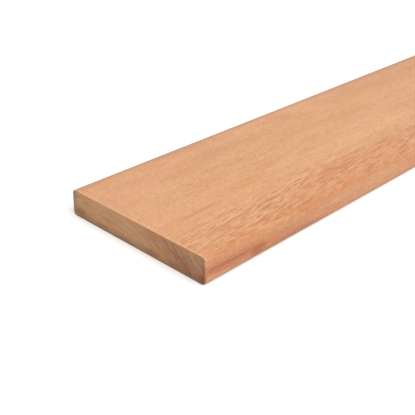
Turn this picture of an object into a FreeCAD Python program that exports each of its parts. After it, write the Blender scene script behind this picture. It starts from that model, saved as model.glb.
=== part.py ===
# Decking board: one length of planed hardwood, smooth on both faces, with its four long edges
# rounded and its two sawn ends square and lightly eased.
#
# Sizes are in millimetres. The origin is the middle of the underside. X runs along the board,
# Y across its width and Z up through its thickness, so the board lies flat on Z = 0 with its
# walking face up. The end that is seen square on is the one at -X.

import FreeCAD, Part

import math
import os

LENGTH = 1800.0        # a stock length, sawn square at both ends
WIDTH = 140.0          # finished width, planed from a 150 mm sawn board
THICKNESS = 22.0       # finished thickness, planed from a 25 mm sawn board
EDGE_RADIUS = 3.5      # quarter round that the moulder cuts on the four long edges
END_EASE = 0.3         # round left by lightly sanding the sharp rim of each sawn end

BOARD_FILE = "parts/deck_board.step"


def quarter_round(x, centre_y, centre_z, radius, start_degrees):
    """An arc of 90 degrees in the plane X = x, running anticlockwise seen from +X."""

    def point_at(degrees):
        angle = math.radians(degrees)
        return FreeCAD.Vector(
            x,
            centre_y + radius * math.cos(angle),
            centre_z + radius * math.sin(angle),
        )

    return Part.Arc(
        point_at(start_degrees),
        point_at(start_degrees + 45.0),
        point_at(start_degrees + 90.0),
    )


def moulder_section(x, width, thickness, radius):
    """The cross-section that leaves the moulder: a flat rectangle with four rounded corners."""
    centre_y = width / 2 - radius
    top_z = thickness - radius
    bottom_z = radius
    rounds = [
        quarter_round(x, centre_y, top_z, radius, 0.0),
        quarter_round(x, -centre_y, top_z, radius, 90.0),
        quarter_round(x, -centre_y, bottom_z, radius, 180.0),
        quarter_round(x, centre_y, bottom_z, radius, 270.0),
    ]
    edges = []
    for corner, next_corner in zip(rounds, rounds[1:] + rounds[:1]):
        edges.append(corner.toShape())
        edges.append(Part.LineSegment(corner.EndPoint, next_corner.StartPoint).toShape())
    return Part.Face(Part.Wire(edges))


def sawn_length(section, length):
    """A straight run of the section along +X, with square ends."""
    return section.extrude(FreeCAD.Vector(length, 0, 0))


def rim_edges(board, end_x):
    """The closed chain of edges round the sawn face in the plane X = end_x."""
    sawn_face = min(board.Faces, key=lambda face: abs(face.CenterOfMass.x - end_x))
    return sawn_face.OuterWire.Edges


def eased_ends(board, length, ease):
    """Rounds over the rim of both sawn ends, the rounded corners of the section included."""
    rims = rim_edges(board, -length / 2) + rim_edges(board, length / 2)
    return board.makeFillet(ease, rims)


section = moulder_section(-LENGTH / 2, WIDTH, THICKNESS, EDGE_RADIUS)
deck_board = eased_ends(sawn_length(section, LENGTH), LENGTH, END_EASE)

os.makedirs("parts", exist_ok=True)
deck_board.exportStep(BOARD_FILE)
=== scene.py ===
import math

import bpy
from mathutils import Matrix, Vector


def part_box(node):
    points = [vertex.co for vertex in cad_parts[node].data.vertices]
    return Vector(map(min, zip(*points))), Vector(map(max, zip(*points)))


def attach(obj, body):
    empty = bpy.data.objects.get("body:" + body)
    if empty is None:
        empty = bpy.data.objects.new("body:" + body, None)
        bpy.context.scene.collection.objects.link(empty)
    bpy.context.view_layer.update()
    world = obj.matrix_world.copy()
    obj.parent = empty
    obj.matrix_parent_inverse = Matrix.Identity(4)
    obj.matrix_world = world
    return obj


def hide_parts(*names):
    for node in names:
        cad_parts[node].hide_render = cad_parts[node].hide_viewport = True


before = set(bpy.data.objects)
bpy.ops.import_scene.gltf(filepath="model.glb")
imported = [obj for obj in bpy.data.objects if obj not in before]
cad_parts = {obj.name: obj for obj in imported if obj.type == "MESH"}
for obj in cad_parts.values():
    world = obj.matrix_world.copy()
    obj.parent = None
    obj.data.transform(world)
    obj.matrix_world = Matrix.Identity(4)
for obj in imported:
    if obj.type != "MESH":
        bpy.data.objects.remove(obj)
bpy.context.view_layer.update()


# Camera
# It stands off the near corner of the sawn end, a little over half a metre from it, and looks
# along the board and down on it. The picture's right edge cuts the board off.

MM = 0.001
FRAME_PIXELS = 415             # the picture's width
FOCAL_PIXELS = 823.0           # focal length, measured in the picture's own pixels
SENSOR_WIDTH = 36.0            # mm
CAMERA_FROM_CORNER = Vector((-335.9, -312.9, 306.8))   # from the near bottom corner, in mm
CAMERA_AZIMUTH = 47.05         # degrees from straight across the board towards its far end
CAMERA_DOWN = 28.25            # degrees below level
CAMERA_ROLL = 1.57             # degrees, the picture's top turned anticlockwise

low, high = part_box("deck_board")
camera_data = bpy.data.cameras.new("camera")
camera_data.sensor_width = SENSOR_WIDTH
camera_data.lens = SENSOR_WIDTH * FOCAL_PIXELS / FRAME_PIXELS
camera = bpy.data.objects.new("camera", camera_data)
bpy.context.scene.collection.objects.link(camera)
camera.matrix_world = (
    Matrix.Translation(low + CAMERA_FROM_CORNER * MM)
    @ Matrix.Rotation(math.radians(-CAMERA_AZIMUTH), 4, "Z")
    @ Matrix.Rotation(math.radians(90.0 - CAMERA_DOWN), 4, "X")
    @ Matrix.Rotation(math.radians(CAMERA_ROLL), 4, "Z")
)
bpy.context.scene.camera = camera


# Decking board
# One length of tropical hardwood, planed on four sides in a moulder that also rounds the long
# edges, then sawn square at both ends and left bare. It lies across joists and is screwed down
# through its face on site, so it has no holes yet.

EDGE_RADIUS = 3.5 * MM         # quarter round on the four long edges
END_EASE = 0.3 * MM            # sanded rim of the sawn ends
PLANED_RELIEF = 0.05 * MM      # how deep the soft grain lies below the hard after planing
SAWN_RELIEF = 0.16 * MM        # depth of the tooth marks and torn fibres on a sawn end
RIM_WEAR = 0.20 * MM           # deepest chip out of the eased rim
PLANED_LUMP = (90.0, 2.6, 2.6)   # size of the hollows along, across and up, in mm
SAWN_LUMP = (4.0, 2.2, 2.2)
RIM_LUMP = (3.0, 3.0, 3.0)
HOLLOW_STARTS = 0.35           # noise at which a hollow starts
HOLLOW_DEEPEST = 0.70          # noise at which it is at its full depth
PLANED_LEAN = 0.1              # furthest that a normal leans lengthwise on a planed face
SAWN_LEAN = 0.9                # least that it does on a sawn one
SHAPE_SEED = 11.0

ARC_STEPS = 8                  # facets in each quarter round
GIRTH_STEP = 1.4 * MM          # widest spacing of the lengthwise lines on the flat faces
END_ROWS = 9                   # rows from the middle line of a sawn end to its rim
RIM_ROWS = 4                   # rows over the eased rim
BODY_ROWS = 300                # rows along the board between the two rims
ALL_ROWS = 2 * (END_ROWS + RIM_ROWS) + BODY_ROWS
SEAM_GAP = 0.002 * MM          # points nearer to each other than this are one

# The texture map that the skin carries, in shares of its side
MAP_EDGE = 0.004               # margin left free
BAND_HEIGHT = 0.449            # one half of the board, unrolled
BAND_STEP = 0.457              # from the front half's band up to the back half's
ENDS_FLOOR = 0.920             # where the two sawn ends stand, side by side
END_SPAN = (0.460, 0.072)      # width and height of one sawn end
END_STEP = 0.475               # from the front end across to the back one
SHOWN_SIDES = (-1.0, 1.0, 0.0)   # in the section's plane: the near side and the walking face
HIDDEN_SHARE = 0.5             # how fine the two hidden sides are, against the two shown


def add(tree, kind, links=None, out=0, **settings):
    """Adds a node with its settings. Each link is a value or a socket. Gives one output."""
    made = tree.nodes.new(kind)
    for name, value in settings.items():
        setattr(made, name, value)
    for key, source in (links or {}).items():
        if isinstance(source, bpy.types.NodeSocket):
            tree.links.new(source, made.inputs[key])
        else:
            made.inputs[key].default_value = source
    return made.outputs[out] if made.outputs else made


MATH = "ShaderNodeMath"
VECTOR = "ShaderNodeVectorMath"
SPLIT = "ShaderNodeSeparateXYZ"
JOIN = "ShaderNodeCombineXYZ"
RANGE = "ShaderNodeMapRange"
NOISE = "ShaderNodeTexNoise"
MIX = "ShaderNodeMix"
AT_POINT = "GeometryNodeSampleIndex"


def run_to_next(tree, line, count):
    """The distance from each point of a closed line to the one after it."""
    here = add(tree, "GeometryNodeInputPosition")
    index = add(tree, "GeometryNodeInputIndex")
    after = add(tree, MATH, {0: index, 1: 1.0}, operation="ADD")
    after = add(tree, MATH, {0: after, 1: count}, operation="FLOORED_MODULO")
    following = add(
        tree,
        AT_POINT,
        {"Geometry": line, "Value": here, "Index": after},
        data_type="FLOAT_VECTOR",
    )
    return add(tree, VECTOR, {0: following, 1: here}, operation="DISTANCE", out=1)


def section_line(tree, given):
    """The section as a closed line, with points where the skin's lengthwise lines will run."""
    outline = add(
        tree,
        "GeometryNodeCurvePrimitiveQuadrilateral",
        {"Width": given["Width"], "Height": given["Thickness"]},
    )
    rounded = add(
        tree,
        "GeometryNodeFilletCurve",
        {
            "Curve": outline,
            "Radius": given["Edge Radius"],
            "Count": ARC_STEPS,
            "Limit Radius": True,
        },
        mode="POLY",
    )
    points = add(tree, "GeometryNodeAttributeDomainSize", {0: rounded}, component="CURVE")
    run = run_to_next(tree, rounded, points)
    cuts = add(tree, MATH, {0: run, 1: GIRTH_STEP}, operation="DIVIDE")
    cuts = add(tree, MATH, {0: cuts}, operation="FLOOR")
    return add(tree, "GeometryNodeSubdivideCurve", {"Curve": rounded, "Cuts": cuts})


def rows_along(tree, row, from_end, given):
    """
    Where the rows lie, counted from the nearer sawn end: over its face, over its rim and then
    along the board. Gives the place along the board, how far the rim's round draws the section
    in, and how far a row of the sawn face has closed in on its middle line, from 0 to 1.
    """
    face_edge = float(END_ROWS)
    rim_edge = float(END_ROWS + RIM_ROWS)
    closed_in = add(tree, RANGE, {0: from_end, 1: 0.0, 2: face_edge, 3: 1.0, 4: 0.0})
    rim_turn = add(
        tree, RANGE, {0: from_end, 1: face_edge, 2: rim_edge, 3: 0.0, 4: math.pi / 2}
    )
    body_part = add(tree, RANGE, {0: from_end, 1: rim_edge, 2: ALL_ROWS / 2, 3: 0.0, 4: 1.0})
    inset = add(tree, MATH, {0: rim_turn}, operation="SINE")
    inset = add(tree, MATH, {0: 1.0, 1: inset}, operation="SUBTRACT")
    inset = add(tree, MATH, {0: inset, 1: given["End Ease"]}, operation="MULTIPLY")
    rim_depth = add(tree, MATH, {0: rim_turn}, operation="COSINE")
    rim_depth = add(tree, MATH, {0: 1.0, 1: rim_depth}, operation="SUBTRACT")
    rim_depth = add(tree, MATH, {0: rim_depth, 1: given["End Ease"]}, operation="MULTIPLY")
    half_length = add(tree, MATH, {0: given["Length"], 1: 0.5}, operation="MULTIPLY")
    half_body = add(tree, MATH, {0: half_length, 1: given["End Ease"]}, operation="SUBTRACT")
    depth = add(tree, MATH, {0: half_body, 1: body_part, 2: rim_depth}, operation="MULTIPLY_ADD")
    which_half = add(tree, MATH, {0: row}, operation="SIGN")
    along = add(tree, MATH, {0: half_length, 1: depth}, operation="SUBTRACT")
    along = add(tree, MATH, {0: along, 1: which_half}, operation="MULTIPLY")
    return along, inset, closed_in


def share_of_girth(tree, section, tangent, girth, column, is_last):
    """How far round the section each column lies, from 1 to 0, in the texture map's fineness."""
    run = run_to_next(tree, section, girth)
    outward = add(tree, VECTOR, {0: tangent, 1: (0.0, 0.0, 1.0)}, operation="CROSS_PRODUCT")
    shown = add(tree, VECTOR, {0: outward, 1: SHOWN_SIDES}, operation="DOT_PRODUCT", out=1)
    fineness = add(tree, RANGE, {0: shown, 1: -1.0, 2: 1.0, 3: HIDDEN_SHARE, 4: 1.0})
    run = add(tree, MATH, {0: run, 1: fineness}, operation="MULTIPLY")
    gathered = add(tree, "GeometryNodeAccumulateField", {"Value": run}, out="Trailing")
    total = gathered.node.outputs["Total"]
    part_way = add(tree, AT_POINT, {"Geometry": section, "Value": gathered, "Index": column})
    whole_way = add(tree, AT_POINT, {"Geometry": section, "Value": total, "Index": 0})
    share = add(tree, MATH, {0: part_way, 1: whole_way}, operation="DIVIDE")
    share = add(tree, MATH, {0: share, 1: is_last}, operation="ADD")
    return add(tree, MATH, {0: 1.0, 1: share}, operation="SUBTRACT")


def map_place(tree, row, from_end, along_share, girth_share, width_share, height_share):
    """The texture map: the board's two halves unrolled as bands, and the sawn ends above."""
    face_row = add(tree, "GeometryNodeFieldOnDomain", {0: row}, domain="FACE")
    in_back = add(tree, MATH, {0: face_row, 1: 0.0}, operation="GREATER_THAN")
    in_front = add(tree, MATH, {0: 1.0, 1: in_back}, operation="SUBTRACT")
    face_from_end = add(tree, "GeometryNodeFieldOnDomain", {0: from_end}, domain="FACE")
    on_sawn = add(tree, MATH, {0: face_from_end, 1: float(END_ROWS)}, operation="LESS_THAN")

    along_band = add(tree, MATH, {0: along_share, 1: in_front}, operation="ADD")
    band_place = add(tree, JOIN, {0: along_band, 1: girth_share})
    band_place = add(
        tree,
        VECTOR,
        {
            0: band_place,
            1: (1.0 - 2.0 * MAP_EDGE, BAND_HEIGHT, 0.0),
            2: (MAP_EDGE, MAP_EDGE, 0.0),
        },
        operation="MULTIPLY_ADD",
    )
    band_shift = add(
        tree, VECTOR, {0: (0.0, BAND_STEP, 0.0), "Scale": in_back}, operation="SCALE"
    )
    band_place = add(tree, VECTOR, {0: band_place, 1: band_shift}, operation="ADD")

    # The two ends look opposite ways, so one of them is turned for neither to be mirrored
    turned = add(tree, MATH, {0: in_back, 1: in_front}, operation="SUBTRACT")
    across_end = add(
        tree, MATH, {0: width_share, 1: turned, 2: 0.5}, operation="MULTIPLY_ADD"
    )
    end_place = add(tree, JOIN, {0: across_end, 1: height_share})
    end_place = add(
        tree,
        VECTOR,
        {0: end_place, 1: END_SPAN + (0.0,), 2: (MAP_EDGE, ENDS_FLOOR, 0.0)},
        operation="MULTIPLY_ADD",
    )
    end_shift = add(tree, VECTOR, {0: (END_STEP, 0.0, 0.0), "Scale": in_back}, operation="SCALE")
    end_place = add(tree, VECTOR, {0: end_place, 1: end_shift}, operation="ADD")
    return add(tree, MIX, {0: on_sawn, 4: band_place, 5: end_place}, out=1, data_type="VECTOR")


def relief(tree, here, given):
    """
    The cut into the skin: raised grain on the planed faces, tooth marks and torn fibre on the
    sawn ends, and small chips out of the rim between them. It only goes inwards.
    """
    normal = add(tree, "GeometryNodeInputNormal")
    lengthwise = add(tree, SPLIT, {0: normal})
    lengthwise = add(tree, MATH, {0: lengthwise}, operation="ABSOLUTE")
    sawn = add(tree, RANGE, {0: lengthwise, 1: SAWN_LEAN, 2: 1.0, 3: 0.0, 4: 1.0})
    planed = add(tree, RANGE, {0: lengthwise, 1: PLANED_LEAN, 2: 0.0, 3: 0.0, 4: 1.0})
    rim = add(tree, MATH, {0: sawn, 1: planed}, operation="ADD")
    rim = add(tree, MATH, {0: 1.0, 1: rim}, operation="SUBTRACT")
    depth = 0.0
    for share, deepest, lump in (
        (planed, "Planed Relief", PLANED_LUMP),
        (sawn, "Sawn Relief", SAWN_LUMP),
        (rim, "Rim Wear", RIM_LUMP),
    ):
        scale = tuple(1 / (size * MM) for size in lump)
        scaled = add(tree, VECTOR, {0: here, 1: scale}, operation="MULTIPLY")
        hollow = add(
            tree,
            NOISE,
            {"Vector": scaled, "W": given["Seed"], "Scale": 1.0, "Detail": 1.0},
            noise_dimensions="4D",
        )
        hollow = add(
            tree, RANGE, {0: hollow, 1: HOLLOW_STARTS, 2: HOLLOW_DEEPEST, 3: 0.0, 4: 1.0}
        )
        hollow = add(tree, MATH, {0: hollow, 1: share}, operation="MULTIPLY")
        depth = add(
            tree, MATH, {0: hollow, 1: given[deepest], 2: depth}, operation="MULTIPLY_ADD"
        )
    inwards = add(tree, MATH, {0: depth, 1: -1.0}, operation="MULTIPLY")
    return add(tree, VECTOR, {0: normal, "Scale": inwards}, operation="SCALE")


def board_skin(sizes, material):
    """
    The tree that makes the board's skin from its sizes, and the identifier of each size's input.
    The skin is one grid wrapped round the section. Its rows run from the middle line of one sawn
    end, over the rim, along the board and in to the middle line of the other end.
    """
    tree = bpy.data.node_groups.new("board_skin", "GeometryNodeTree")
    inputs = {}
    for name in sizes:
        item = tree.interface.new_socket(name, in_out="INPUT", socket_type="NodeSocketFloat")
        inputs[name] = item.identifier
    tree.interface.new_socket("Skin", in_out="OUTPUT", socket_type="NodeSocketGeometry")
    given = tree.nodes.new("NodeGroupInput").outputs

    # The grid has one column more than the section has points, so that it closes on itself
    section = section_line(tree, given)
    girth = add(tree, "GeometryNodeAttributeDomainSize", {0: section}, component="CURVE")
    columns = add(tree, MATH, {0: girth, 1: 1.0}, operation="ADD")
    grid = add(
        tree,
        "GeometryNodeMeshGrid",
        {
            "Size X": girth,
            "Size Y": float(ALL_ROWS),
            "Vertices X": columns,
            "Vertices Y": ALL_ROWS + 1,
        },
    )
    here = add(tree, "GeometryNodeInputPosition")
    on_grid = add(tree, SPLIT, {0: here})
    half_girth = add(tree, MATH, {0: girth, 1: 0.5}, operation="MULTIPLY")
    column = add(tree, MATH, {0: on_grid, 1: half_girth}, operation="ADD")
    column = add(tree, MATH, {0: column}, operation="ROUND")
    is_last = add(tree, MATH, {0: column, 1: girth, 2: 0.5}, operation="COMPARE")
    column = add(tree, MATH, {0: column, 1: girth}, operation="FLOORED_MODULO")
    row = on_grid.node.outputs[1]
    from_middle = add(tree, MATH, {0: row}, operation="ABSOLUTE")
    from_end = add(tree, MATH, {0: ALL_ROWS / 2, 1: from_middle}, operation="SUBTRACT")

    # Each column's place on the section, drawn in by the rim's round
    tangent = add(tree, "GeometryNodeInputTangent")
    on_section, along_section = (
        add(
            tree,
            AT_POINT,
            {"Geometry": section, "Value": value, "Index": column},
            data_type="FLOAT_VECTOR",
        )
        for value in (here, tangent)
    )
    outward = add(
        tree, VECTOR, {0: along_section, 1: (0.0, 0.0, 1.0)}, operation="CROSS_PRODUCT"
    )
    along, inset, closed_in = rows_along(tree, row, from_end, given)
    inward = add(tree, VECTOR, {0: outward, "Scale": inset}, operation="SCALE")
    drawn_in = add(tree, VECTOR, {0: on_section, 1: inward}, operation="SUBTRACT")
    drawn_in = add(tree, SPLIT, {0: drawn_in})

    # On a sawn face the rows close in on the middle line of the section
    half_line = add(tree, MATH, {0: given["Width"], 1: given["Thickness"]}, operation="SUBTRACT")
    half_line = add(tree, MATH, {0: half_line, 1: 0.5}, operation="MULTIPLY")
    line_start = add(tree, MATH, {0: half_line, 1: -1.0}, operation="MULTIPLY")
    on_line = add(
        tree, "ShaderNodeClamp", {"Value": drawn_in, "Min": line_start, "Max": half_line}
    )
    width_place = add(tree, MIX, {0: closed_in, 2: drawn_in, 3: on_line}, data_type="FLOAT")
    still_open = add(tree, MATH, {0: 1.0, 1: closed_in}, operation="SUBTRACT")
    height = add(
        tree, MATH, {0: drawn_in.node.outputs[1], 1: still_open}, operation="MULTIPLY"
    )
    half_height = add(tree, MATH, {0: given["Thickness"], 1: 0.5}, operation="MULTIPLY")
    height = add(tree, MATH, {0: height, 1: half_height}, operation="ADD")
    skin_place = add(tree, JOIN, {0: along, 1: width_place, 2: height})

    half_length = add(tree, MATH, {0: given["Length"], 1: 0.5}, operation="MULTIPLY")
    on_map = map_place(
        tree,
        row,
        from_end,
        along_share=add(tree, MATH, {0: along, 1: half_length}, operation="DIVIDE"),
        girth_share=share_of_girth(tree, section, tangent, girth, column, is_last),
        width_share=add(tree, MATH, {0: width_place, 1: given["Width"]}, operation="DIVIDE"),
        height_share=add(tree, MATH, {0: height, 1: given["Thickness"]}, operation="DIVIDE"),
    )
    mapped = add(
        tree,
        "GeometryNodeStoreNamedAttribute",
        {"Geometry": grid, "Name": "OFBake", "Value": on_map},
        data_type="FLOAT2",
        domain="CORNER",
    )
    wrapped = add(tree, "GeometryNodeSetPosition", {"Geometry": mapped, "Position": skin_place})
    closed = add(tree, "GeometryNodeMergeByDistance", {"Geometry": wrapped, "Distance": SEAM_GAP})
    cut = relief(tree, here, given)
    worn = add(tree, "GeometryNodeSetPosition", {"Geometry": closed, "Offset": cut})
    smooth = add(tree, "GeometryNodeSetShadeSmooth", {"Geometry": worn})
    real = add(tree, "GeometryNodeRealizeInstances", {"Geometry": smooth})
    finished = add(tree, "GeometryNodeSetMaterial", {"Geometry": real, "Material": material})
    tree.links.new(finished, tree.nodes.new("NodeGroupOutput").inputs[0])
    return tree, inputs


board_size = high - low
sizes = {
    "Length": board_size.x,
    "Width": board_size.y,
    "Thickness": board_size.z,
    "Edge Radius": EDGE_RADIUS,
    "End Ease": END_EASE,
    "Planed Relief": PLANED_RELIEF,
    "Sawn Relief": SAWN_RELIEF,
    "Rim Wear": RIM_WEAR,
    "Seed": SHAPE_SEED,
}
wood = bpy.data.materials.new("planed_hardwood")
skin_tree, size_inputs = board_skin(sizes, wood)
maker = bpy.data.objects.new("board_to_be", bpy.data.meshes.new("board_to_be"))
bpy.context.scene.collection.objects.link(maker)
skin = maker.modifiers.new("skin", "NODES")
skin.node_group = skin_tree
for name, value in sizes.items():
    skin[size_inputs[name]] = value
depsgraph = bpy.context.evaluated_depsgraph_get()
board_mesh = bpy.data.meshes.new_from_object(
    maker.evaluated_get(depsgraph), preserve_all_data_layers=True, depsgraph=depsgraph
)
board_mesh.name = "planed_board"
bpy.data.objects.remove(maker)
planed_board = bpy.data.objects.new("planed_board", board_mesh)
bpy.context.scene.collection.objects.link(planed_board)

# The wood, planed and left bare, gives the eye a warm and nearly matt tan. It is finely streaked
# where the growth layers meet the face steeply, and plainly mottled where they lie nearly flat
# to it. The sawn end is darker and greyer, because its open pores hold shadow.

PITH = (40.0, -70.0)           # mm, the log's middle: towards the far side, below the underside
ARC_RADIUS = 120.0             # mm from the pith, where lengths round the log are true
LEAN = (0.0, -0.065, 0.05)     # per mm along. It makes the dashes drift round the log and inwards
LAYER_WARP = 5.0               # mm, how far a growth layer strays from a true circle
WANDER_LUMP = (130.0, 80.0, 80.0)   # mm, length of the bends along which the fibres wander
WANDER = (0.0, 8.0, 8.0)       # mm, how far they wander
WANDER_DETAIL = 2.5
RAGGED_LUMP = (25.0, 6.25, 4.0)     # mm, size of the bays in the outline of a mark
RAGGED = (5.0, 4.0, 3.0)       # mm, depth of those bays
RAGGED_DETAIL = 2.0
MARK_CORE = 0.35               # share of its half sizes within which a mark is at full strength
PLANED_ROUGHNESS = 0.52
SAWN_ROUGHNESS = 0.85
WOOD_IOR = 1.5
PORE_DEPTH = 0.08 * MM         # drawn by the light alone, not cut in the mesh
PORE_STRENGTH = 0.5            # how much of that depth the light draws

GOLDEN_WOOD_AND_HIGHLIGHT = "#E3AF7C"        # broad yellower bands, and a painted highlight by the near corner
ROSE_WOOD = "#E0A082"          # broad pinker bands, and a breath of pink on the long sides
EMBER_WOOD = "#D0834E"         # redder growth layers and patches
ORANGE_WOOD = "#E38A48"        # bright wood at the sawn end
PALE_FIBRE_AND_HIGHLIGHT = "#F3C9A2"         # light fibres, and a painted highlight along the arrises
DARK_FIBRE = "#AA6634"         # the darker fibres between them
PORE_BROWN = "#7E4A2A"         # shadow in the pores
LAYER_BROWN = "#7C4C2C"        # dark growth layers and specks on the sawn end
DEEP_BROWN = "#6E4526"         # painted shade low on the board; also darker along the far edge of the walking face
RED_STREAK = "#AC5234"         # the streak along the near side
RUST = "#8A4A22"               # the stains low on the sawn end
EDGE_GREY = "#85786A"       # painted shade along the lowest edges; also greyer along the far edges
LONG_GRAIN = (                 # tone of the planed wood at each distance from the pith, in mm
    (91.0, "#D89B69"),
    (108.0, "#DEA270"),
    (120.0, "#DC9E6B"),
    (128.0, "#D89563"),
    (136.0, "#D7905C"),
    (143.0, "#D68B55"),
)
END_GRAIN = (                  # tone of the sawn wood at each distance from the pith, in mm
    (86.0, "#CA9B70"),
    (95.0, "#C8986D"),
    (104.0, "#BF8B63"),
    (112.0, "#B6815D"),
    (119.0, "#AC7A59"),
    (130.0, "#B08262"),
)

# The marks of this one length, listed one by one: its middle and its half sizes in mm, from
# the near bottom corner of its front end along, across and up, how strong it is, and its colour
NEAR_SIDE_MARKS = (
    ((22.0, 0.0, 10.2), (46.0, 6.0, 1.4), 0.52, RED_STREAK),
    ((28.0, 0.0, 8.8), (50.0, 6.0, 5.5), 0.36, RED_STREAK),
    ((55.0, 0.0, 7.0), (12.0, 6.0, 6.0), 0.42, RED_STREAK),
    ((92.0, 0.0, 4.4), (50.0, 6.0, 2.6), 0.34, RED_STREAK),
    ((34.0, 0.0, 14.0), (36.0, 5.0, 3.0), 0.16, RED_STREAK),
    ((86.0, 0.0, 8.0), (34.0, 6.0, 5.5), 0.14, RED_STREAK),
    ((8.0, 0.0, 13.0), (13.0, 6.0, 4.5), 0.25, RED_STREAK),
    ((62.0, 0.0, 9.0), (34.0, 6.0, 9.0), 0.36, EMBER_WOOD),
    ((12.0, 0.0, 3.8), (18.0, 6.0, 2.6), 0.62, ROSE_WOOD),
    ((138.0, 0.0, 16.0), (36.0, 4.0, 3.5), 0.40, ROSE_WOOD),
    ((74.0, 0.0, 19.5), (44.0, 3.0, 3.0), 0.25, GOLDEN_WOOD_AND_HIGHLIGHT),
    ((55.0, 0.0, 7.5), (12.0, 6.0, 6.0), 0.23, LAYER_BROWN),
    # painted shade low along the near side, next to the floor
    ((95.0, 0.0, 3.5), (68.0, 6.0, 2.6), 0.18, EDGE_GREY),
    ((140.0, 0.0, 6.5), (24.0, 4.0, 2.5), 0.16, RED_STREAK),
    ((190.0, 0.0, 13.0), (60.0, 5.0, 7.0), 0.12, PALE_FIBRE_AND_HIGHLIGHT),
)
SAWN_END_MARKS = (
    ((0.0, 1.5, 6.0), (2.2, 4.0, 7.0), 0.40, RUST),
    ((0.0, 3.0, 3.0), (2.2, 8.0, 5.0), 0.48, RUST),
    ((0.0, 1.5, 5.0), (2.2, 3.5, 2.5), 0.45, RUST),
    ((0.0, 131.0, 5.6), (4.0, 8.0, 5.5), 0.50, RUST),
    ((0.0, 30.0, 3.6), (4.0, 7.0, 3.2), 0.22, RUST),
    ((0.0, 45.0, 6.0), (4.0, 9.0, 4.5), 0.24, ORANGE_WOOD),
    ((0.0, 52.0, 4.0), (4.0, 12.0, 3.6), 0.36, LAYER_BROWN),
    ((0.0, 80.0, 1.8), (4.0, 16.0, 2.0), 0.30, LAYER_BROWN),
    ((0.0, 106.0, 3.4), (4.0, 11.0, 3.4), 0.22, RUST),
    ((0.0, 122.0, 3.0), (4.0, 8.0, 4.0), 0.20, RUST),
    ((0.0, 92.0, 8.0), (4.0, 24.0, 6.0), 0.20, ORANGE_WOOD),
    ((0.0, 19.0, 18.5), (4.0, 14.0, 3.5), 0.16, GOLDEN_WOOD_AND_HIGHLIGHT),
)
NEAR_CORNER_MARKS = (
    ((0.0, 0.0, 13.0), (3.0, 4.0, 3.5), 0.28, LAYER_BROWN),
    # painted highlight on the near side, next to the sawn end's upright arris
    ((1.8, -1.0, 5.0), (2.2, 1.8, 3.0), 0.70, GOLDEN_WOOD_AND_HIGHLIGHT),
    ((6.0, 0.0, 6.5), (9.0, 4.0, 2.5), 0.25, ORANGE_WOOD),
    ((14.0, 0.0, 16.0), (18.0, 5.0, 3.0), 0.14, ORANGE_WOOD),
)
WALKING_FACE_MARKS = (
    ((35.0, 49.0, 22.0), (46.0, 5.0, 8.0), 0.26, EMBER_WOOD),
    ((100.0, 56.0, 22.0), (34.0, 8.0, 8.0), 0.28, EMBER_WOOD),
    ((138.0, 65.0, 22.0), (18.0, 6.0, 8.0), 0.30, EMBER_WOOD),
    ((186.0, 61.0, 22.0), (22.0, 6.0, 8.0), 0.30, EMBER_WOOD),
    ((200.0, 25.0, 22.0), (90.0, 11.0, 8.0), 0.42, EMBER_WOOD),
    ((165.0, 10.0, 22.0), (125.0, 16.0, 8.0), 0.28, EMBER_WOOD),
    ((20.0, 95.0, 22.0), (80.0, 80.0, 12.0), 0.10, ROSE_WOOD),
    ((50.0, 48.0, 22.0), (34.0, 1.4, 8.0), 0.22, DARK_FIBRE),
    ((45.0, 1.5, 22.0), (18.0, 4.0, 5.0), 0.30, EMBER_WOOD),
    ((74.0, 7.0, 22.0), (22.0, 6.0, 8.0), 0.36, EMBER_WOOD),
    ((106.0, 2.0, 22.0), (20.0, 4.0, 6.0), 0.34, EMBER_WOOD),
    ((180.0, 3.0, 22.0), (30.0, 4.0, 6.0), 0.26, EMBER_WOOD),
    ((280.0, 21.0, 22.0), (56.0, 13.0, 8.0), 0.20, EMBER_WOOD),
    ((264.0, 5.0, 22.0), (28.0, 6.0, 6.0), 0.24, EMBER_WOOD),
    ((370.0, 58.0, 22.0), (70.0, 26.0, 12.0), 0.14, DARK_FIBRE),
    ((420.0, 128.0, 22.0), (170.0, 32.0, 12.0), 0.24, DARK_FIBRE),
    ((65.2, 88.0, 22.0), (1.3, 5.5, 4.0), 0.35, DARK_FIBRE),
    ((69.5, 83.3, 22.0), (6.0, 1.3, 4.0), 0.35, DARK_FIBRE),
    ((57.0, 101.5, 22.0), (4.0, 1.2, 4.0), 0.30, DARK_FIBRE),
    ((77.6, 72.4, 22.0), (2.8, 1.4, 4.0), 0.28, DARK_FIBRE),
)
MARKS = NEAR_SIDE_MARKS + SAWN_END_MARKS + NEAR_CORNER_MARKS + WALKING_FACE_MARKS


def linear(code):
    """The linear colour of an sRGB hex code."""
    parts = [int(code[k : k + 2], 16) / 255.0 for k in (1, 3, 5)]
    return tuple(
        c / 12.92 if c <= 0.04045 else ((c + 0.055) / 1.055) ** 2.4 for c in parts
    ) + (1.0,)


def tint(tree, colour, code, amount, *masks):
    """Mixes a colour in by an amount, where all the masks are 1."""
    for mask in masks:
        amount = add(tree, MATH, {0: mask, 1: amount}, operation="MULTIPLY")
    return add(tree, MIX, {0: amount, 6: colour, 7: linear(code)}, out=2, data_type="RGBA")


def tone_by_distance(tree, distance, tones):
    """The colour at each distance from the pith."""
    first, last = tones[0][0], tones[-1][0]
    place = add(tree, RANGE, {0: distance, 1: first, 2: last})
    tone = add(tree, "ShaderNodeValToRGB", {0: place})
    stops = tone.node.color_ramp.elements
    while len(stops) < len(tones):
        stops.new(0.5)
    for stop, (reach, code) in zip(stops, tones):
        stop.position = (reach - first) / (last - first)
        stop.color = linear(code)
    return tone


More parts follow.
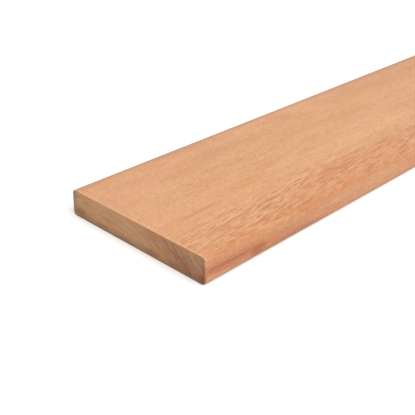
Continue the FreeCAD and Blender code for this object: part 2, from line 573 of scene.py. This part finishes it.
def uneven(tree, place, mm, lump, detail, reach):
    """A place shifted smoothly to and fro. The lumps of the shift and its reach are in mm."""
    scale = tuple(1.0 / size for size in lump)
    scaled = add(tree, VECTOR, {0: mm, 1: scale}, operation="MULTIPLY")
    shift = add(tree, NOISE, {"Vector": scaled, "Scale": 1.0, "Detail": detail}, out="Color")
    shift = add(tree, VECTOR, {0: shift, 1: (0.5, 0.5, 0.5)}, operation="SUBTRACT")
    shift = add(tree, VECTOR, {0: shift, 1: reach}, operation="MULTIPLY")
    return add(tree, VECTOR, {0: place, 1: shift}, operation="ADD")


def place_in_log(tree, mm):
    """
    The place in the log, in mm along it, round it and out from its pith, the same with the
    dashes' lean added, the distance from the pith, and how steeply the growth layers meet the
    broad faces, from 0 to 1.
    """
    wavy = uneven(tree, mm, mm, WANDER_LUMP, WANDER_DETAIL, WANDER)
    along = add(tree, SPLIT, {0: wavy})
    across = add(tree, MATH, {0: along.node.outputs[1], 1: PITH[0]}, operation="SUBTRACT")
    up = add(tree, MATH, {0: along.node.outputs[2], 1: PITH[1]}, operation="SUBTRACT")
    angle = add(tree, MATH, {0: across, 1: up}, operation="ARCTAN2")
    round_log = add(tree, MATH, {0: angle, 1: ARC_RADIUS}, operation="MULTIPLY")
    spoke = add(tree, JOIN, {0: across, 1: up})
    radius = add(tree, VECTOR, {0: spoke}, operation="LENGTH", out="Value")
    log = add(tree, JOIN, {0: along, 1: round_log, 2: radius})
    lean = add(tree, VECTOR, {0: LEAN, "Scale": along}, operation="SCALE")
    leaning = add(tree, VECTOR, {0: log, 1: lean}, operation="ADD")
    steepness = add(tree, MATH, {0: across, 1: radius}, operation="DIVIDE")
    steepness = add(tree, MATH, {0: steepness}, operation="ABSOLUTE")
    return log, leaning, radius, steepness


def grain_patterns(tree, mm, log, leaning):
    """
    Noise for each thing that the grain is made of. A row gives where it is measured, the size
    of its lumps in mm, its detail, its seed, and the range of the noise that becomes 0 to 1. Two
    rows with the same lumps and seed fit between each other. The real pores are about 0.2 mm
    wide, too fine to show, so they are drawn in lumps of 0.8 mm.
    """
    pattern = {}
    for name, space, lump, detail, seed, start, stop in (
        ("gold", mm, (300.0, 40.0, 60.0), 1.0, 0.0, 0.45, 0.65),
        ("rose", mm, (240.0, 34.0, 60.0), 1.0, 3.7, 0.50, 0.68),
        ("warp", log, (160.0, 30.0, 12.0), 1.0, 11.1, 0.00, 1.00),
        ("ember layer", log, (110.0, 30.0, 3.5), 1.5, 18.5, 0.50, 0.68),
        ("dark layer", log, (45.0, 16.0, 1.3), 1.0, 7.4, 0.50, 0.70),
        ("pale layer", log, (45.0, 16.0, 1.3), 1.0, 7.4, 0.50, 0.32),
        ("dark dash", leaning, (11.0, 2.0, 1.0), 0.9, 14.8, 0.53, 0.62),
        ("pale dash", leaning, (11.0, 2.0, 1.0), 0.9, 14.8, 0.49, 0.37),
        ("long line", leaning, (40.0, 3.0, 1.0), 0.5, 51.8, 0.58, 0.68),
        ("patch", mm, (40.0, 12.0, 20.0), 1.0, 48.1, 0.38, 0.58),
        ("dark fleck", leaning, (3.4, 1.5, 0.9), 1.0, 22.2, 0.50, 0.68),
        ("pale fleck", leaning, (3.4, 1.5, 0.9), 1.0, 22.2, 0.50, 0.34),
        ("pore", leaning, (8.0, 0.8, 0.8), 0.0, 25.9, 0.66, 0.78),
        ("dark ring", log, (90.0, 25.0, 0.8), 1.0, 29.6, 0.50, 0.68),
        ("pale ring", log, (60.0, 14.0, 0.7), 1.0, 33.3, 0.52, 0.68),
        ("blotch", mm, (9.0, 6.0, 4.0), 1.0, 44.4, 0.46, 0.66),
        ("speck", mm, (4.0, 0.8, 0.8), 0.5, 37.0, 0.56, 0.72),
        ("fuzz", mm, (0.7, 0.7, 0.7), 1.0, 40.7, 0.30, 0.70),
    ):
        scale = tuple(1.0 / size for size in lump)
        scaled = add(tree, VECTOR, {0: space, 1: scale}, operation="MULTIPLY")
        noise = add(
            tree,
            NOISE,
            {"Vector": scaled, "W": seed, "Scale": 1.0, "Detail": detail},
            noise_dimensions="4D",
        )
        pattern[name] = add(
            tree, RANGE, {0: noise, 1: start, 2: stop}, interpolation_type="SMOOTHSTEP"
        )
    return pattern


def depths_in_board(tree, from_corner, size):
    """The depth under the section's outline, and the distance to the nearer sawn end, in mm."""
    radius = EDGE_RADIUS / MM
    middle = tuple(v / 2 for v in size)
    core = tuple(v - radius for v in middle)
    folded = add(tree, VECTOR, {0: from_corner, 1: middle}, operation="SUBTRACT")
    folded = add(tree, VECTOR, {0: folded}, operation="ABSOLUTE")
    past_core = add(tree, VECTOR, {0: folded, 1: core}, operation="SUBTRACT")
    past_core = add(tree, VECTOR, {0: past_core, 1: (0.0, 1.0, 1.0)}, operation="MULTIPLY")
    outer = add(tree, VECTOR, {0: past_core, 1: (0.0, 0.0, 0.0)}, operation="MAXIMUM")
    outer = add(tree, VECTOR, {0: outer}, operation="LENGTH", out="Value")
    inner = add(tree, SPLIT, {0: past_core})
    inner = add(
        tree, MATH, {0: inner.node.outputs[1], 1: inner.node.outputs[2]}, operation="MAXIMUM"
    )
    inner = add(tree, MATH, {0: inner, 1: 0.0}, operation="MINIMUM")
    reach = add(tree, MATH, {0: outer, 1: inner}, operation="ADD")
    under = add(tree, MATH, {0: radius, 1: reach}, operation="SUBTRACT")
    to_end = add(tree, SPLIT, {0: folded})
    to_end = add(tree, MATH, {0: middle[0], 1: to_end}, operation="SUBTRACT")
    return under, to_end


def zones_of_board(tree, facing, from_corner, distance, steepness, size):
    """
    Masks from 0 to 1 for the parts of the board that look different. A row gives what tells the
    part, where it starts and where it is full: the way the surface faces, the place from the
    near bottom corner in mm, or the growth layers.
    """
    under, to_end = depths_in_board(tree, from_corner, size)
    facing_up = add(tree, SPLIT, {0: facing}, out=2)
    turn = add(tree, VECTOR, {0: facing}, operation="ABSOLUTE")
    endwise = add(tree, SPLIT, {0: turn})
    sideways = endwise.node.outputs[1]
    place = add(tree, SPLIT, {0: from_corner})
    width_place = place.node.outputs[1]
    height = place.node.outputs[2]
    width = size[1]
    zone = {}
    for name, source, start, stop in (
        ("sawn end", endwise, 0.70, 0.93),
        ("long side", sideways, 0.10, 0.80),
        ("not under", facing_up, -0.95, -0.60),
        ("arris highlight along", to_end, 2.6, 0.8),
        ("well in", to_end, 10.0, 75.0),
        ("arris highlight on end", under, 0.9, 0.3),
        ("rim", under, 3.0, 1.0),
        ("lowest", height, 2.6, 1.0),
        ("not lowest", height, 2.0, 4.0),
        ("low edge", height, 5.0, 0.8),
        ("low", height, 7.5, 2.5),
        ("upper", height, 9.0, 14.0),
        ("high", height, 16.0, 21.0),
        ("near edge", width_place, 7.0, 2.0),
        ("far edge", width_place, width - 10.0, width - 3.0),
        ("far arris", width_place, width - 6.5, width - 3.0),
        ("dense", distance, 108.0, 117.0),
        ("steep", steepness, 0.58, 0.70),
    ):
        zone[name] = add(
            tree, RANGE, {0: source, 1: start, 2: stop}, interpolation_type="SMOOTHSTEP"
        )
    return zone


def streaked_share(tree, pattern, zone):
    """
    How strongly the dashes show: hardly where the growth layers lie flat, fully where they are
    steep, but less on the long sides, outside the patches and near the ends.
    """
    share = 1.0
    for mask, least, most in (
        (zone["steep"], 0.07, 1.0),
        (zone["long side"], 1.0, 0.15),
        (pattern["patch"], 0.75, 1.05),
        (zone["well in"], 0.65, 1.0),
    ):
        part = add(tree, MATH, {0: mask, 1: most - least, 2: least}, operation="MULTIPLY_ADD")
        share = add(tree, MATH, {0: part, 1: share}, operation="MULTIPLY")
    return share


def planed_hardwood(wood, low, size):
    """A solid wood pattern: the same growth layers, fibres and pores show on every face."""
    wood.use_nodes = True
    tree = wood.node_tree
    tree.nodes.clear()
    shader = tree.nodes.new("ShaderNodeBsdfPrincipled")
    output = tree.nodes.new("ShaderNodeOutputMaterial")
    tree.links.new(shader.outputs[0], output.inputs[0])
    here = add(tree, "ShaderNodeTexCoord", out="Object")
    facing = here.node.outputs["Normal"]
    mm = add(tree, VECTOR, {0: here, "Scale": 1.0 / MM}, operation="SCALE")
    from_corner = add(tree, VECTOR, {0: mm, 1: tuple(v / MM for v in low)}, operation="SUBTRACT")
    size_in_mm = tuple(v / MM for v in size)

    log, leaning, radius, steepness = place_in_log(tree, mm)
    pattern = grain_patterns(tree, mm, log, leaning)
    warp = add(tree, MATH, {0: pattern["warp"], 1: 0.5}, operation="SUBTRACT")
    distance = add(tree, MATH, {0: warp, 1: LAYER_WARP, 2: radius}, operation="MULTIPLY_ADD")
    zone = zones_of_board(tree, facing, from_corner, distance, steepness, size_in_mm)
    streaked = streaked_share(tree, pattern, zone)

    colour = tone_by_distance(tree, distance, LONG_GRAIN)
    for code, amount, masks in (
        (GOLDEN_WOOD_AND_HIGHLIGHT, 0.30, (pattern["gold"],)),
        (ROSE_WOOD, 0.22, (pattern["rose"],)),
        (ROSE_WOOD, 0.15, (zone["long side"],)),
        (EMBER_WOOD, 0.18, (pattern["ember layer"],)),
        (EMBER_WOOD, 0.42, (zone["near edge"], zone["high"])),
        (DARK_FIBRE, 0.12, (pattern["dark layer"],)),
        (DARK_FIBRE, 0.08, (pattern["dark layer"], streaked)),
        (PALE_FIBRE_AND_HIGHLIGHT, 0.10, (pattern["pale layer"],)),
        (DARK_FIBRE, 0.64, (pattern["dark dash"], streaked)),
        (PALE_FIBRE_AND_HIGHLIGHT, 0.40, (pattern["pale dash"], streaked)),
        (DARK_FIBRE, 0.20, (pattern["long line"], streaked)),
        (DARK_FIBRE, 0.17, (pattern["dark fleck"],)),
        (PALE_FIBRE_AND_HIGHLIGHT, 0.18, (pattern["pale fleck"],)),
        (PORE_BROWN, 0.22, (pattern["pore"],)),
        # Painted highlight along the arrises next to the sawn ends
        (PALE_FIBRE_AND_HIGHLIGHT, 0.25, (zone["arris highlight along"],)),
        # Darker and greyer along the far edge of the walking face
        (DEEP_BROWN, 0.12, (zone["far edge"], zone["high"])),
        (EDGE_GREY, 0.25, (zone["far edge"], zone["high"])),
        # Painted shade: darker and greyer low on the long sides, next to the floor, but not on
        # the underside
        (DEEP_BROWN, 0.12, (zone["low edge"], zone["not under"])),
        (EDGE_GREY, 0.16, (zone["low edge"], zone["not under"])),
    ):
        colour = tint(tree, colour, code, amount, *masks)

    sawn = tone_by_distance(tree, distance, END_GRAIN)
    for code, amount, masks in (
        (LAYER_BROWN, 0.38, (pattern["dark ring"],)),
        (PALE_FIBRE_AND_HIGHLIGHT, 0.20, (pattern["pale ring"],)),
        (PALE_FIBRE_AND_HIGHLIGHT, 0.42, (pattern["pale ring"], zone["dense"], zone["upper"])),
        (LAYER_BROWN, 0.25, (pattern["blotch"], zone["dense"])),
        (LAYER_BROWN, 0.50, (pattern["speck"],)),
        (LAYER_BROWN, 0.40, (pattern["speck"], zone["dense"])),
        (ORANGE_WOOD, 0.30, (zone["rim"], zone["upper"])),
        # Painted shade: the low part of the sawn end darker, and greyer still along its bottom
        # edge, next to the floor
        (DEEP_BROWN, 0.26, (zone["low"],)),
        (EDGE_GREY, 0.60, (zone["lowest"],)),
        # Painted highlight round the rim of the sawn end, kept off its bottom edge
        (PALE_FIBRE_AND_HIGHLIGHT, 0.50, (zone["arris highlight on end"], zone["not lowest"])),
        # Greyer along the far edge of the sawn end
        (EDGE_GREY, 0.50, (zone["far arris"],)),
    ):
        sawn = tint(tree, sawn, code, amount, *masks)
    colour = add(tree, MIX, {0: zone["sawn end"], 6: colour, 7: sawn}, out=2, data_type="RGBA")

    ragged = uneven(tree, from_corner, mm, RAGGED_LUMP, RAGGED_DETAIL, RAGGED)
    for centre, half, amount, code in MARKS:
        mark = add(tree, VECTOR, {0: ragged, 1: centre}, operation="SUBTRACT")
        mark = add(tree, VECTOR, {0: mark, 1: half}, operation="DIVIDE")
        mark = add(tree, VECTOR, {0: mark}, operation="LENGTH", out="Value")
        mark = add(tree, RANGE, {0: mark, 1: 1.0, 2: MARK_CORE}, interpolation_type="SMOOTHSTEP")
        colour = tint(tree, colour, code, amount, mark)
    tree.links.new(colour, shader.inputs["Base Color"])

    rough = add(tree, RANGE, {0: zone["sawn end"], 3: PLANED_ROUGHNESS, 4: SAWN_ROUGHNESS})
    tree.links.new(rough, shader.inputs["Roughness"])
    shader.inputs["IOR"].default_value = WOOD_IOR
    hollow = add(tree, MATH, {0: pattern["dark dash"], 1: streaked}, operation="MULTIPLY")
    hollow = add(tree, MATH, {0: pattern["pore"], 1: hollow}, operation="MAXIMUM")
    torn = add(tree, MATH, {0: pattern["fuzz"], 1: zone["sawn end"]}, operation="MULTIPLY")
    hollow = add(tree, MATH, {0: hollow, 1: torn}, operation="MAXIMUM")
    surface = add(tree, MATH, {0: 1.0, 1: hollow}, operation="SUBTRACT")
    bump = add(
        tree,
        "ShaderNodeBump",
        {"Height": surface, "Distance": PORE_DEPTH, "Strength": PORE_STRENGTH},
    )
    tree.links.new(bump, shader.inputs["Normal"])


planed_hardwood(wood, low, board_size)
board_mesh.materials.clear()
board_mesh.materials.append(wood)
for face in board_mesh.polygons:
    face.material_index = 0
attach(planed_board, "root")
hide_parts("deck_board")


# Floor and light
# A plain sheet of white paper, one soft lamp above it and an even white sky, as for a catalogue
# picture. A glow that only the camera sees lifts the lit paper to plain white. It is weak near
# the board, so that the board's soft shadow still shows.

SHEET_REACH = 8.0              # metres from the middle of the sheet to its edges
PAPER_WHITE = 0.8
NEAR_GLOW = 0.32
FAR_GLOW = 1.0
GLOW_RISES = (1.4, 3.6)        # metres from the middle of the board
SKY_LIGHT = 0.68               # the sky's strength as a light. It is seen as plain white
LAMP_PLACE = Vector((-0.6, -2.6, 4.6))   # metres, above and in front of the board
LAMP_AIM = Vector((-0.3, 0.0, 0.0))
LAMP_WIDTH = 2.4               # metres
LAMP_WATTS = 125.0

floor_mesh = bpy.data.meshes.new("floor")
floor_mesh.from_pydata(
    [
        (-SHEET_REACH, -SHEET_REACH, 0.0),
        (SHEET_REACH, -SHEET_REACH, 0.0),
        (SHEET_REACH, SHEET_REACH, 0.0),
        (-SHEET_REACH, SHEET_REACH, 0.0),
    ],
    [],
    [(0, 1, 2, 3)],
)
floor = bpy.data.objects.new("floor", floor_mesh)
bpy.context.scene.collection.objects.link(floor)
paper = bpy.data.materials.new("white_paper")
paper.use_nodes = True
tree = paper.node_tree
sheet = tree.nodes["Principled BSDF"]
sheet.inputs["Base Color"].default_value = (PAPER_WHITE, PAPER_WHITE, PAPER_WHITE, 1.0)
sheet.inputs["Roughness"].default_value = 1.0
sheet.inputs["Specular IOR Level"].default_value = 0.0
sheet.inputs["Emission Color"].default_value = (1.0, 1.0, 1.0, 1.0)
seen = add(tree, "ShaderNodeLightPath", out="Is Camera Ray")
far_off = add(tree, "ShaderNodeTexCoord", out="Object")
far_off = add(tree, VECTOR, {0: far_off}, operation="LENGTH", out="Value")
glow = add(
    tree,
    RANGE,
    {0: far_off, 1: GLOW_RISES[0], 2: GLOW_RISES[1], 3: NEAR_GLOW, 4: FAR_GLOW},
    interpolation_type="SMOOTHSTEP",
)
glow = add(tree, MATH, {0: seen, 1: glow}, operation="MULTIPLY")
tree.links.new(glow, sheet.inputs["Emission Strength"])
floor_mesh.materials.append(paper)

world = bpy.data.worlds.new("studio")
bpy.context.scene.world = world
world.use_nodes = True
tree = world.node_tree
tree.nodes.clear()
seen = add(tree, "ShaderNodeLightPath", out="Is Camera Ray")
mirrored = seen.node.outputs["Is Glossy Ray"]
seen = add(tree, MATH, {0: seen, 1: mirrored}, operation="MAXIMUM")
strength = add(tree, RANGE, {0: seen, 3: SKY_LIGHT, 4: 1.0})
sky = add(tree, "ShaderNodeBackground", {"Color": (1.0, 1.0, 1.0, 1.0), "Strength": strength})
tree.links.new(sky, tree.nodes.new("ShaderNodeOutputWorld").inputs[0])

softbox = bpy.data.lights.new("key", "AREA")
softbox.shape = "SQUARE"
softbox.size = LAMP_WIDTH
softbox.energy = LAMP_WATTS
lamp = bpy.data.objects.new("key", softbox)
bpy.context.scene.collection.objects.link(lamp)
lamp.location = LAMP_PLACE
lamp.rotation_euler = (LAMP_AIM - LAMP_PLACE).to_track_quat("-Z", "Y").to_euler()

bpy.context.scene.view_settings.view_transform = "Standard"
